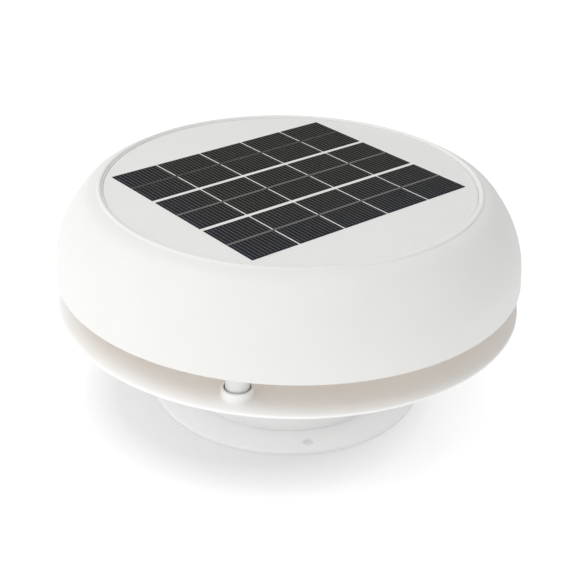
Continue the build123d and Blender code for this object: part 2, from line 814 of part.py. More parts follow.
with BuildPart() as motor_leads:
    for start_x, x in zip(terminal_x, motor_lead_x):
        with BuildLine() as route:
            FilletPolyline(
                (start_x, -2.4, cap_top + 1.5),
                (start_x, -2.4, wire_level),
                (x, -30, wire_level),
                (x, inner_lead_y, wire_level),
                (x, inner_lead_y, connector_top),
                radius=[5, 12, 1.6],
            )
        with BuildSketch(Plane(origin=route.wire() @ 0, z_dir=route.wire() % 0)):
            Circle(wire_radius)
        sweep()
motor_leads.part.label = "motor_leads"
export_step(motor_leads.part, "parts/motor_leads.step")
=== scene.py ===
from math import cos, hypot, pi, radians, sin, sqrt, tan

import bmesh
import bpy
from mathutils import Matrix, Vector


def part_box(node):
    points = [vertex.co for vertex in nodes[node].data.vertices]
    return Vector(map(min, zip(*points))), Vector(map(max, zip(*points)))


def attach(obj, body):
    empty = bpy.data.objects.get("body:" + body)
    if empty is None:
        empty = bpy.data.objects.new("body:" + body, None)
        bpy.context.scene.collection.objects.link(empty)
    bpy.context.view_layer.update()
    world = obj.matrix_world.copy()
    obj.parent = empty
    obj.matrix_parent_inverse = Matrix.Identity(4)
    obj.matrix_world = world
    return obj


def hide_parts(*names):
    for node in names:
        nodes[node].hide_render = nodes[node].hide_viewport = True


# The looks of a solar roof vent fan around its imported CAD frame. Shapes are written in
# millimetres in the CAD's own frame and stored in metres.

MM = 0.001

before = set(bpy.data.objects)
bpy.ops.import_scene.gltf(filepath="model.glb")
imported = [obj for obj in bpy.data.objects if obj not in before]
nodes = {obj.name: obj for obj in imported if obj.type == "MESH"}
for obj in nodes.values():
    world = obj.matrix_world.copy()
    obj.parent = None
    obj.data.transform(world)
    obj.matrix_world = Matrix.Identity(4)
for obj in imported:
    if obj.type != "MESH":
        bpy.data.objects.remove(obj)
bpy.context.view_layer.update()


def low(node, axis):
    """A CAD node's lowest coordinate along an axis, in millimetres."""
    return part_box(node)[0][axis] / MM


def high(node, axis):
    """A CAD node's highest coordinate along an axis, in millimetres."""
    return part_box(node)[1][axis] / MM


# ---- sizes, from the frame -------------------------------------------------------------------

flange_radius = high("mounting_flange", 0)
socket_top = high("mounting_flange", 2)
duct_top = high("base_tray", 2)
tray_radius = high("base_tray", 0)
post_foot = low("standoff_posts", 2)
post_top = high("standoff_posts", 2)
tray_top = post_foot
hood_radius = high("top_hood", 0)
bead_top = high("top_hood", 2)
roof_top = low("panel_seal", 2)
board_low = low("panel_board", 2)
board_high = high("panel_board", 2)
cell_high = high("solar_cells", 2)
cover_low = low("panel_cover", 2)
cover_high = high("panel_cover", 2)
panel_radius = high("panel_board", 0)
hub_low = low("impeller", 2)
hub_high = high("impeller", 2)
screen_low = low("insect_screen", 2)
screen_high = high("insect_screen", 2)
retainer_high = high("screen_retainer", 2)

# sizes that no box of a node gives. They are the CAD's own, but for screw_sink, the countersink
# of the flange's holes, which only the Blender flange has.

flange_top = 2.2
tray_thickness = 2.6
tray_bottom = tray_top - tray_thickness
impeller_radius = 50.0
neck_outer = 58.0
neck_inner = 55.6
socket_outer = 55.2
socket_inner = 52.6
flange_bore = 50.0
post_circle = 112.8
post_radius = 5.8
cup_inner = 6.5
cup_outer = 7.9
cup_height = 4.9
cup_top = tray_top + cup_height
first_post_angle = -141.7
post_angles = [first_post_angle + 120 * k for k in range(3)]
first_screw_angle = -119.4
screw_angles = [first_screw_angle + 90 * k for k in range(4)]
screw_circle = 68.3
screw_hole = 2.7
screw_sink = 3.4
drip_rib = 119.2
drip_rib_width = 1.6
post_bore = 2.2
peg_height = 9.5
lock_turn = 22
hood_wall = 2.5
roof_bottom = roof_top - hood_wall

# the bead round the panel, the groove inside it, and the hood's outer side

bead_inner = 99.3
bead_outer = 101.7
bead_round = 1.1
groove_outer = 98.55
groove_floor = 121.85
shoulder = [(102.4, 121.5), (106.2, 119.9), (115.1, 110.2), (123.8, 91.6), (hood_radius, 75.6)]
shoulder_start = (1.0, -0.28)
shoulder_end = (0.1, -1.0)

# ---- mesh helpers ----------------------------------------------------------------------------


def new_object(name, mesh):
    """An object in the scene for a mesh."""
    thing = bpy.data.objects.new(name, mesh)
    bpy.context.scene.collection.objects.link(thing)
    return thing


def finish_mesh(bm, name, sharp=35):
    """A smooth shaded mesh in metres from a bmesh in millimetres, sharp over an angle."""
    bmesh.ops.remove_doubles(bm, verts=bm.verts, dist=1e-5)
    bmesh.ops.recalc_face_normals(bm, faces=bm.faces)
    bmesh.ops.scale(bm, vec=(MM, MM, MM), verts=bm.verts)
    mesh = bpy.data.meshes.new(name)
    bm.to_mesh(mesh)
    bm.free()
    mesh.polygons.foreach_set("use_smooth", [True] * len(mesh.polygons))
    mesh.set_sharp_from_angle(angle=radians(sharp))
    return mesh


def rounded(outline):
    """An outline of (x, y, corner radius) points as plain points, its corners made into arcs."""
    steps = 5
    points = []
    count = len(outline)
    for i, (x, y, radius) in enumerate(outline):
        here = Vector((x, y))
        before = Vector(outline[i - 1][:2]) - here
        after = Vector(outline[(i + 1) % count][:2]) - here
        if radius <= 0 or before.length < 1e-6 or after.length < 1e-6:
            points.append((x, y))
            continue
        half = before.angle(after) / 2
        reach = min(radius / tan(half), before.length * 0.49, after.length * 0.49)
        radius = reach * tan(half)
        centre = here + (before.normalized() + after.normalized()).normalized() * radius / sin(half)
        start = here + before.normalized() * reach - centre
        end = here + after.normalized() * reach - centre
        sweep = start.angle_signed(end)
        for k in range(steps + 1):
            turn = Matrix.Rotation(-sweep * k / steps, 2)
            points.append(tuple(centre + turn @ start))
    return points


def curve_through(points, start, end, steps):
    """A smooth line through points, with a direction at each end, as a list of points."""
    places = [Vector(p) for p in points]
    spans = [(b - a).length for a, b in zip(places, places[1:])]
    slopes = [Vector(start).normalized()]
    for i in range(1, len(places) - 1):
        back = (places[i] - places[i - 1]) / spans[i - 1]
        ahead = (places[i + 1] - places[i]) / spans[i]
        slopes.append((back * spans[i] + ahead * spans[i - 1]) / (spans[i] + spans[i - 1]))
    slopes.append(Vector(end).normalized())
    line = []
    for i, span in enumerate(spans):
        for k in range(steps + (i == len(spans) - 1)):
            t = k / steps
            a = 2 * t**3 - 3 * t**2 + 1
            b = t**3 - 2 * t**2 + t
            c = 3 * t**2 - 2 * t**3
            d = t**3 - t**2
            point = a * places[i] + c * places[i + 1] + (b * slopes[i] + d * slopes[i + 1]) * span
            line.append(tuple(point))
    return line


def arc(centre, radius, start, end):
    """Points of an arc about a centre, between two angles in degrees."""
    steps = 6
    angles = [radians(start + (end - start) * k / steps) for k in range(steps + 1)]
    return [(centre[0] + radius * cos(a), centre[1] + radius * sin(a)) for a in angles]


def moved_inwards(line, distance):
    """A line that runs outwards and down, moved towards its inner side."""
    moved = []
    for i, point in enumerate(line):
        along = Vector(line[min(i + 1, len(line) - 1)]) - Vector(line[max(i - 1, 0)])
        along.normalize()
        moved.append((point[0] + along.y * distance, point[1] - along.x * distance))
    return moved


def lathe(bm, outline, segments, centre=(0, 0)):
    """Turns a closed (radius, height) outline about an upright axis and adds it to a bmesh."""
    rings = []
    for radius, height in outline:
        if radius < 1e-6:
            rings.append([bm.verts.new((centre[0], centre[1], height))])
            continue
        ring = []
        for k in range(segments):
            a = 2 * pi * k / segments
            x, y = centre[0] + radius * cos(a), centre[1] + radius * sin(a)
            ring.append(bm.verts.new((x, y, height)))
        rings.append(ring)
    for i, ring in enumerate(rings):
        following = rings[(i + 1) % len(rings)]
        for k in range(segments):
            n = (k + 1) % segments
            corners = [ring[k % len(ring)], ring[n % len(ring)]]
            corners += [following[n % len(following)], following[k % len(following)]]
            corners = list(dict.fromkeys(corners))
            if len(corners) > 2:
                bm.faces.new(corners)


def box_part(bm, centre, size, turn=0.0, bevel=0.0):
    """Adds a box, turned about its own upright axis, with its edges rounded by a bevel."""
    made = bmesh.ops.create_cube(bm, size=1.0)
    verts = made["verts"]
    bmesh.ops.scale(bm, vec=size, verts=verts)
    if bevel:
        edges = list({e for v in verts for e in v.link_edges})
        made = bmesh.ops.bevel(
            bm, geom=edges, offset=bevel, segments=2, affect="EDGES", profile=0.5
        )
        verts = list({v for f in made["faces"] for v in f.verts})
    bmesh.ops.rotate(bm, cent=(0, 0, 0), matrix=Matrix.Rotation(turn, 3, "Z"), verts=verts)
    bmesh.ops.translate(bm, vec=centre, verts=verts)


def cut(thing, cutter):
    """Takes one mesh object away from another, and removes the cutter."""
    modifier = thing.modifiers.new("cut", "BOOLEAN")
    modifier.operation = "DIFFERENCE"
    modifier.solver = "EXACT"
    modifier.use_self = True
    modifier.object = cutter
    graph = bpy.context.evaluated_depsgraph_get()
    mesh = bpy.data.meshes.new_from_object(thing.evaluated_get(graph))
    thing.modifiers.clear()
    thing.data = mesh
    bpy.data.objects.remove(cutter)
    mesh.polygons.foreach_set("use_smooth", [True] * len(mesh.polygons))
    mesh.set_sharp_from_angle(angle=radians(35))


def piece(name, bm, material, body, slot, *replaced, sharp=35):
    """A finished piece from a bmesh: its material, the body it rides on and what it stands for."""
    thing = new_object(name, finish_mesh(bm, name, sharp))
    dress(thing, material, body, slot, *replaced)
    return thing


def dress(thing, material, body, slot, *replaced):
    """Gives a piece its material, the body it rides on and the CAD nodes that it stands for."""
    thing.data.materials.clear()
    thing.data.materials.append(material)
    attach(thing, body)
    if replaced:
        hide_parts(*replaced)


# ---- materials -------------------------------------------------------------------------------


class Paint:
    """A Principled material with named nodes hung on its inputs."""

    def __init__(self, name, **fixed):
        self.material = bpy.data.materials.new(name)
        self.material.use_nodes = True
        self.tree = self.material.node_tree
        self.shader = self.tree.nodes["Principled BSDF"]
        for key, value in fixed.items():
            self.shader.inputs[key.replace("_", " ")].default_value = value

    def add(self, kind, **settings):
        node = self.tree.nodes.new(kind)
        for key, value in settings.items():
            if hasattr(node, key):
                setattr(node, key, value)
            else:
                node.inputs[key].default_value = value
        return node

    def link(self, out, into):
        self.tree.links.new(out, into)

    def place(self):
        """Coordinates in metres in the object's own frame."""
        return self.add("ShaderNodeTexCoord").outputs["Object"]

    def noise(self, scale, detail=3.0, roughness=0.55, stretch=None):
        """Smooth noise with features of about 1/scale metres."""
        node = self.add("ShaderNodeTexNoise", Scale=scale, Detail=detail, Roughness=roughness)
        source = self.place()
        if stretch:
            mapping = self.add("ShaderNodeMapping", Scale=stretch)
            self.link(source, mapping.inputs["Vector"])
            source = mapping.outputs["Vector"]
        self.link(source, node.inputs["Vector"])
        return node.outputs["Fac"]

    def between(self, amount, least, most, start=0.3, end=0.7):
        """A number between least and most as amount goes from start to end."""
        node = self.add("ShaderNodeMapRange")
        node.inputs["From Min"].default_value = start
        node.inputs["From Max"].default_value = end
        node.inputs["To Min"].default_value = least
        node.inputs["To Max"].default_value = most
        self.link(amount, node.inputs["Value"])
        return node.outputs["Result"]

    def blend(self, amount, first, second):
        """A colour between two, which may be colours or outputs."""
        node = self.add("ShaderNodeMix", data_type="RGBA")
        for socket, value in ((node.inputs[6], first), (node.inputs[7], second)):
            if isinstance(value, bpy.types.NodeSocket):
                self.link(value, socket)
            else:
                socket.default_value = (*value, 1.0)
        self.link(amount, node.inputs[0])
        return node.outputs[2]

    def bump(self, height, strength, distance):
        """Makes a height into the shader's surface normal."""
        node = self.add("ShaderNodeBump", Strength=strength, Distance=distance)
        self.link(height, node.inputs["Height"])
        self.link(node.outputs["Normal"], self.shader.inputs["Normal"])

    def colour(self, out):
        self.link(out, self.shader.inputs["Base Color"])

    def rough(self, out):
        self.link(out, self.shader.inputs["Roughness"])


def moulded_plastic(name, pale, deep, smooth=0.42, dull=0.56, grain=0.25, shine=0.5):
    """Injection moulded plastic: slow tone changes and a fine spark eroded grain."""
    paint = Paint(name)
    paint.colour(paint.blend(paint.between(paint.noise(35), 0, 1), deep, pale))
    paint.rough(paint.between(paint.noise(260, 4), smooth, dull))
    paint.bump(paint.noise(2600, 2), grain, 0.00006)
    paint.shader.inputs["Specular IOR Level"].default_value = shine
    return paint.material


def brushed_metal(name, pale, deep, along, smooth=0.25, dull=0.4):
    """Drawn or turned metal, with fine lines stretched along one way."""
    paint = Paint(name, Metallic=1.0)
    lines = paint.noise(900, 3, 0.6, stretch=along)
    paint.colour(paint.blend(paint.between(lines, 0, 1), deep, pale))
    paint.rough(paint.between(lines, smooth, dull))
    paint.bump(lines, 0.2, 0.00003)
    return paint.material


def soft_rubber(name, pale, deep, scale=1500):
    """Dull rubber or closed cell foam."""
    paint = Paint(name)
    cells = paint.noise(scale, 4, 0.7)
    paint.colour(paint.blend(paint.between(cells, 0, 1), deep, pale))
    paint.rough(paint.between(cells, 0.7, 0.92))
    paint.bump(cells, 0.5, 0.0001)
    return paint.material


def silicon(name):
    """Solar cells: nearly black and a little olive, with a painted bluish reflection towards two
    edges of the array.
    """
    paint = Paint(name)
    drift = paint.noise(22, 2)
    cloud = paint.noise(140, 4)
    base = paint.blend(paint.between(cloud, 0, 1), (0.0095, 0.010, 0.0070), (0.0145, 0.015, 0.0110))
    blue = paint.blend(paint.between(cloud, 0, 1), (0.0090, 0.010, 0.0170), (0.0130, 0.015, 0.0270))
    split = paint.add("ShaderNodeSeparateXYZ")
    paint.link(paint.place(), split.inputs[0])
    # the blue towards these two edges is a painted reflection, made stronger and weaker by slow
    # noise
    reflection_across = (-0.062, -0.012)
    reflection_along = (-0.072, -0.040)
    across = paint.between(split.outputs["Y"], 1.0, 0.0, *reflection_across)
    along = paint.between(split.outputs["X"], 1.0, 0.0, *reflection_along)
    edge = paint.add("ShaderNodeMath", operation="MAXIMUM")
    paint.link(across, edge.inputs[0])
    paint.link(along, edge.inputs[1])
    amount = paint.add("ShaderNodeMath", operation="MULTIPLY", use_clamp=True)
    paint.link(edge.outputs[0], amount.inputs[0])
    paint.link(paint.between(drift, 0.55, 1.1), amount.inputs[1])
    paint.colour(paint.blend(amount.outputs[0], base, blue))
    paint.rough(paint.between(cloud, 0.5, 0.6))
    paint.shader.inputs["Specular IOR Level"].default_value = 0.0
    return paint.material


def clear_sheet(name):
    """The panel's clear front sheet: nearly all see-through, with a slightly uneven satin face."""
    paint = Paint(name, Alpha=0.02, Base_Color=(0.45, 0.45, 0.44, 1.0))
    paint.rough(paint.between(paint.noise(120, 3), 0.30, 0.42))
    return paint.material


def printed_metal(name, pale, deep):
    """Printed silver paste and tinned ribbon on the cells, dull under the front sheet."""
    paint = Paint(name)
    specks = paint.noise(2200, 3, 0.7)
    paint.colour(paint.blend(paint.between(specks, 0, 1), deep, pale))
    paint.rough(paint.between(specks, 0.45, 0.65))
    paint.bump(specks, 0.2, 0.00002)
    return paint.material


hood_white = moulded_plastic("hood_white", (0.838, 0.838, 0.818), (0.823, 0.823, 0.803), shine=0.2)
# base_white and flange_white, one base plastic, are made paler than the hood's white, the flange a
# little paler still, to brighten the tray, neck and flange where the hood and tray shade them:
# painted light
base_white = moulded_plastic("base_white", (0.95, 0.95, 0.945), (0.94, 0.94, 0.935), shine=0.35)
flange_white = moulded_plastic("flange_white", (0.96, 0.96, 0.96), (0.95, 0.95, 0.95))
post_white = moulded_plastic("post_white", (0.84, 0.85, 0.85), (0.825, 0.835, 0.835), 0.35, 0.45)
pod_white = moulded_plastic("pod_white", (0.78, 0.77, 0.74), (0.76, 0.75, 0.72), 0.45, 0.6, 0.4)
fan_white = moulded_plastic("fan_white", (0.76, 0.76, 0.73), (0.73, 0.73, 0.70), 0.35, 0.5, 0.3)
sheet_white = moulded_plastic(
    "sheet_white", (0.87, 0.875, 0.86), (0.858, 0.863, 0.848), 0.5, 0.62, 0.0
)
dark_plastic = moulded_plastic(
    "dark_plastic", (0.035, 0.035, 0.038), (0.025, 0.025, 0.028), 0.4, 0.55, 0.5
)
component_black = moulded_plastic(
    "component_black", (0.04, 0.04, 0.04), (0.03, 0.03, 0.03), 0.35, 0.5, 0.5
)
board_green = moulded_plastic(
    "board_green", (0.02, 0.14, 0.06), (0.015, 0.10, 0.045), 0.25, 0.4, 0.2
)
cell_sleeve = moulded_plastic("cell_sleeve", (0.04, 0.16, 0.34), (0.03, 0.13, 0.28), 0.2, 0.3, 0.1)
wire_red = moulded_plastic("wire_red", (0.50, 0.03, 0.025), (0.42, 0.025, 0.02), 0.3, 0.42, 0.1)
wire_black = moulded_plastic("wire_black", (0.03, 0.03, 0.03), (0.02, 0.02, 0.02), 0.3, 0.42, 0.1)
magnet_grey = moulded_plastic(
    "magnet_grey", (0.09, 0.09, 0.095), (0.07, 0.07, 0.075), 0.6, 0.75, 0.6
)
rubber_black = soft_rubber("rubber_black", (0.035, 0.035, 0.035), (0.02, 0.02, 0.02))
foam_black = soft_rubber("foam_black", (0.06, 0.06, 0.06), (0.03, 0.03, 0.03), 900)
plain_steel = brushed_metal("plain_steel", (0.60, 0.60, 0.59), (0.52, 0.52, 0.51), (1, 1, 0.08))
screw_steel = brushed_metal(
    "screw_steel", (0.66, 0.66, 0.65), (0.58, 0.58, 0.57), (1, 0.2, 1), 0.2, 0.32
)
mesh_dark = brushed_metal("mesh_dark", (0.10, 0.10, 0.10), (0.07, 0.07, 0.07), (1, 1, 1), 0.5, 0.65)
winding_copper = brushed_metal(
    "winding_copper", (0.70, 0.30, 0.14), (0.50, 0.20, 0.09), (1, 1, 0.3)
)
bush_bronze = brushed_metal(
    "bush_bronze", (0.62, 0.42, 0.22), (0.52, 0.35, 0.18), (1, 1, 0.3), 0.4, 0.55
)
contact_brass = brushed_metal("contact_brass", (0.75, 0.58, 0.30), (0.66, 0.50, 0.25), (1, 0.2, 1))
cell_silicon = silicon("cell_silicon")
finger_paste = printed_metal("finger_paste", (0.070, 0.073, 0.070), (0.050, 0.053, 0.050))
ribbon_tin = printed_metal("ribbon_tin", (0.125, 0.127, 0.115), (0.11, 0.112, 0.10))
cover_clear = clear_sheet("cover_clear")

# ---- hood ------------------------------------------------------------------------------------

outer_shoulder = curve_through(shoulder, shoulder_start, shoulder_end, 16)
inner_shoulder = moved_inwards(outer_shoulder, hood_wall)


def shoulder_height_at(radius):
    """The height of the hood's outer side over a radius."""
    for (r0, z0), (r1, z1) in zip(outer_shoulder, outer_shoulder[1:]):
        if r0 <= radius <= r1:
            return z0 + (z1 - z0) * (radius - r0) / (r1 - r0)
    return outer_shoulder[0][1]


def add_boss(bm, centre, foot, radius, hole, top_at):
    """Adds a hollow boss that grows down from the hood, its top following the wall it stands on."""
    segments = 40
    rings = []
    for ring_radius, place in ((hole, "top"), (hole, "foot"), (radius, "foot"), (radius, "top")):
        ring = []
        for k in range(segments):
            a = 2 * pi * k / segments
            x = centre[0] + ring_radius * cos(a)
            y = centre[1] + ring_radius * sin(a)
            ring.append(bm.verts.new((x, y, foot if place == "foot" else top_at(hypot(x, y)))))
        rings.append(ring)
    for first, second in zip(rings, rings[1:]):
        for k in range(segments):
            n = (k + 1) % segments
            bm.faces.new((first[k], first[n], second[n], second[k]))
    for k in range(segments):
        n = (k + 1) % segments
        bm.faces.new((rings[3][k], rings[3][n], rings[0][n], rings[0][k]))


def on_circle(radius, angle):
    """A point on a circle about the axis, at an angle in degrees."""
    return radius * cos(radians(angle)), radius * sin(radians(angle))


def under_shoulder(radius):
    """A height inside the hood's sloping side, over a radius."""
    return shoulder_height_at(radius) - 1.2


def inside_roof(_radius):
    """A height inside the hood's flat roof, the same at every radius."""
    return roof_bottom + 1.0


def build_hood():
    bm = bmesh.new()
    lip = 0.45
    post_core = 2.05
    screw_core = 1.55
    corners = [(p[0], p[1], 0) for p in outer_shoulder[:-1]]
    corners += [(*outer_shoulder[-1], lip), (*inner_shoulder[-1], lip)]
    corners += [(p[0], p[1], 0) for p in reversed(inner_shoulder[:-1]) if p[1] < roof_bottom]
    corners += [(bead_inner + 0.5, roof_bottom, 0), (0, roof_bottom, 0), (0, roof_top, 0)]
    corners += [(groove_outer, roof_top, 0.3), (groove_outer, groove_floor, 0.2)]
    corners += [(bead_inner, groove_floor, 0.2)]
    crown = bead_top - bead_round
    bead = arc((bead_inner + bead_round, crown), bead_round, 180, 90)
    bead += arc((bead_outer - bead_round, crown), bead_round, 90, 15)
    bead += curve_through([bead[-1], outer_shoulder[0]], (0.26, -0.97), shoulder_start, 5)[1:-1]
    corners += [(*p, 0) for p in bead]
    lathe(bm, rounded(corners), 256)
    boss_radius = post_radius + 0.6
    for angle in post_angles:
        place = on_circle(post_circle, angle)
        add_boss(bm, place, post_top, boss_radius, post_core, under_shoulder)
    pod_screw_circle = 25
    pod_boss = 3.5
    for angle in (90, 210, 330):
        place = on_circle(pod_screw_circle, angle)
        add_boss(bm, place, high("motor_pod", 2), pod_boss, screw_core, inside_roof)
    case_boss = 4.0
    screw_inset = 6.0
    for case in ("control_case", "battery_case"):
        middle = (low(case, 1) + high(case, 1)) / 2
        reach = high(case, 0) - screw_inset
        for side in (-1, 1):
            place = (side * reach, middle)
            add_boss(bm, place, high(case, 2), case_boss, screw_core, inside_roof)
    piece("hood_shell", bm, hood_white, "vent", "hood_plastic", "top_hood")


build_hood()

# ---- solar panel -----------------------------------------------------------------------------


def build_panel():
    bm = bmesh.new()
    board = [(0, board_low, 0), (panel_radius, board_low, 0.3), (panel_radius, board_high, 0.35)]
    lathe(bm, rounded(board + [(0, board_high, 0)]), 256)
    piece("panel_sheet_disc", bm, sheet_white, "vent", "panel_sheet", "panel_board")

    bm = bmesh.new()
    cover = [(0, cover_low, 0), (panel_radius, cover_low, 0), (panel_radius, cover_high, 0.2)]
    lathe(bm, rounded(cover + [(0, cover_high, 0)]), 256)
    piece("panel_front_sheet", bm, cover_clear, "vent", "clear_cover", "panel_cover")


def cell_grid():
    """Centres of the cells, with their size, from the CAD array's box."""
    cells_along, cell_rows = 5, 3
    along = high("solar_cells", 0) - low("solar_cells", 0)
    across = high("solar_cells", 1) - low("solar_cells", 1)
    middle_x = (high("solar_cells", 0) + low("solar_cells", 0)) / 2
    middle_y = (high("solar_cells", 1) + low("solar_cells", 1)) / 2
    gap_along, gap_across = 1.0, 2.7
    length = (along - (cells_along - 1) * gap_along) / cells_along
    width = (across - (cell_rows - 1) * gap_across) / cell_rows
    places = []
    for i in range(cells_along):
        for j in range(cell_rows):
            x = middle_x + (i - (cells_along - 1) / 2) * (length + gap_along)
            y = middle_y + (j - (cell_rows - 1) / 2) * (width + gap_across)
            places.append((x, y))
    return places, length, width


def build_cells():
    places, length, width = cell_grid()
    bm = bmesh.new()
    thickness = cell_high - board_high
    for x, y in places:
        box_part(bm, (x, y, board_high + thickness / 2), (length, width, thickness), bevel=0.05)
    piece("cell_wafers", bm, cell_silicon, "vent", "silicon", "solar_cells")

    # printed fingers, at right angles to the ribbon, on every cell
    bm = bmesh.new()
    pitch = 2.25
    count = 12
    finger_width = 0.34
    finger_height = 0.024
    finger_length = width - 1.6
    for x, y in places:
        for k in range(count):
            at = x + (k - (count - 1) / 2) * pitch
            centre = (at, y, cell_high + finger_height / 2)
            box_part(bm, centre, (finger_width, finger_length, finger_height))
    piece("cell_fingers", bm, finger_paste, "vent", "solder_ribbon")

    # one ribbon along the middle of each row
    bm = bmesh.new()
    ribbon_low = low("cell_ribbons", 2)
    ribbon_high = high("cell_ribbons", 2)
    middle = (ribbon_low + ribbon_high) / 2
    ribbon_width = 1.4
    ribbon_length = high("cell_ribbons", 0) - low("cell_ribbons", 0)
    size = (ribbon_length, ribbon_width, ribbon_high - ribbon_low)
    for y in sorted({y for _, y in places}):
        box_part(bm, (places[len(places) // 2][0], y, middle), size, bevel=0.03)
    piece("row_ribbons", bm, ribbon_tin, "vent", "solder_ribbon", "cell_ribbons")


build_panel()
build_cells()

# ---- tray, neck, posts -----------------------------------------------------------------------


def build_tray():
    bm = bmesh.new()
    foot = flange_top + 0.02
    rib_outer = drip_rib + drip_rib_width
    rib_bottom = tray_bottom - 1.6
    # the tray's upper edge rolls over softly to its rim
    roll_width = 8.0
    roll_drop = 1.4
    roll_steps = 10
    rolled_rim = []
    for k in range(roll_steps + 1):
        a = radians(90 * k / roll_steps)
        radius = tray_radius - roll_width * (1 - cos(a))
        rolled_rim.append((radius, tray_top - roll_drop * (1 - sin(a)), 0))
    outline = [
        (neck_inner, foot, 0.1),
        (neck_outer, foot, 0.1),
        (neck_outer, tray_bottom, 2.0),
        (drip_rib, tray_bottom, 0.4),
        (drip_rib, rib_bottom, 0.5),
        (rib_outer, rib_bottom, 0.5),
        (rib_outer, tray_bottom, 0.4),
        (tray_radius, tray_bottom, 1.2),
        *rolled_rim,
        (neck_outer, tray_top, 2.0),
        (neck_outer, duct_top, 0.7),
        (neck_inner, duct_top, 0.7),
    ]
    lathe(bm, rounded(outline), 256)
    for angle in post_angles:
        cup = [
            (cup_inner, tray_top - 0.3, 0),
            (cup_outer + 0.7, tray_top - 0.3, 0),
            (cup_outer, tray_top + 0.6, 0.5),
            (cup_outer, cup_top, 0.6),
            (cup_inner, cup_top, 0.35),
        ]
        lathe(bm, rounded(cup), 64, on_circle(post_circle, angle))
    # the three pegs of the twist lock, inside the neck
    peg_circle = 54.8
    peg_size = (2.4, 4.0, 3.4)
    for k in range(3):
        angle = 120 * k
        centre = (*on_circle(peg_circle, angle), peg_height)
        box_part(bm, centre, peg_size, radians(angle), bevel=0.3)
    piece("tray_and_neck", bm, base_white, "vent", "base_plastic", "base_tray")


build_tray()


def build_posts():
    bm = bmesh.new()
    tube = [(post_bore, post_foot, 0), (post_radius, post_foot, 0.4)]
    tube += [(post_radius, post_top, 0.3), (post_bore, post_top, 0)]
    for angle in post_angles:
        lathe(bm, rounded(tube), 64, on_circle(post_circle, angle))
    piece("post_tubes", bm, post_white, "vent", "post_plastic", "standoff_posts")


build_posts()


def pan_head(bm, centre, seat, head, head_height, shank, tip):
    """Adds a pan head screw that points upwards, its head below the seat."""
    face = seat - head_height
    outline = [
        (0, face, 0),
        (head * 0.55, face + 0.08 * head_height, 0.5),
        (head, face + 0.55 * head_height, 0.5),
        (head, seat, 0.1),
        (shank, seat, 0),
        (shank, tip - shank, 0),
        (0, tip, 0),
    ]
    lathe(bm, rounded(outline), 48, centre)


def cross_cutter(bm, centre, face, head, depth, turn):
    """Adds the two bars of a cross recess."""
    bar = (head * 1.1, head * 0.24, depth * 1.4)
    for extra in (0, pi / 2):
        box_part(bm, (*centre, face + depth / 2), bar, turn + extra)


def build_screws(name, places, seat, head, head_height, shank, tip, node):
    """Pan head screws at several places, each with its recess at its own turn."""
    bm = bmesh.new()
    cutters = bmesh.new()
    for k, centre in enumerate(places):
        pan_head(bm, centre, seat, head, head_height, shank, tip)
        cross_cutter(cutters, centre, seat - head_height, head, head_height * 0.5, 0.4 + 0.9 * k)
    screws = new_object(name, finish_mesh(bm, name))
    bmesh.ops.recalc_face_normals(cutters, faces=cutters.faces)
    cutter = new_object(name + "_cutter", finish_mesh(cutters, name + "_cutter"))
    cut(screws, cutter)
    dress(screws, screw_steel, "vent", "screw_steel", node)


build_screws(
    "tray_screws", [on_circle(post_circle, a) for a in post_angles], tray_bottom,
    head=4.0, head_height=2.5, shank=2.0, tip=high("post_screws", 2), node="post_screws",
)

# ---- mounting flange -------------------------------------------------------------------------


def build_flange():
    bm = bmesh.new()
    groove_in, groove_out, ledge = 55.9, 57.7, 1.2
    outline = [
        (flange_bore, 0, 0.2),
        (flange_radius, 0, 0.3),
        (flange_radius, flange_top, 1.0),
        (groove_out, flange_top, 0.1),
        (groove_out, ledge, 0),
        (groove_in, ledge, 0),
        (groove_in, flange_top, 0.1),
        (socket_outer, flange_top, 0),
        (socket_outer, socket_top, 0.4),
        (socket_inner, socket_top, 0.4),
        (socket_inner, ledge, 0),
        (flange_bore, ledge, 0.2),
    ]
    lathe(bm, rounded(outline), 256)
    flange = new_object("flange_ring", finish_mesh(bm, "flange_ring"))
    cutters = bmesh.new()
    hole = [(0, -1, 0), (screw_hole, -1, 0), (screw_hole, flange_top - 0.45, 0)]
    hole += [(screw_sink, flange_top + 0.25, 0), (screw_sink, flange_top + 1, 0)]
    hole += [(0, flange_top + 1, 0)]
    for angle in screw_angles:
        lathe(cutters, rounded(hole), 48, on_circle(screw_circle, angle))
    # the slots of the twist lock: each runs level from a peg's place to its open entry
    slot_circle = 53.4
    level_size = (6, 26.6, 4.2)
    entry_size = (6, 6, 9.6)
    entry_rise = 3
    for k in range(3):
        middle = lock_turn / 2 + 120 * k
        level = (*on_circle(slot_circle, middle), peg_height)
        box_part(cutters, level, level_size, radians(middle))
        end = lock_turn + 120 * k
        entry = (*on_circle(slot_circle, end), peg_height + entry_rise)
        box_part(cutters, entry, entry_size, radians(end))
    cut(flange, new_object("flange_cutter", finish_mesh(cutters, "flange_cutter")))
    dress(flange, flange_white, "mount", "base_plastic", "mounting_flange")


build_flange()

# ---- insect screen ---------------------------------------------------------------------------


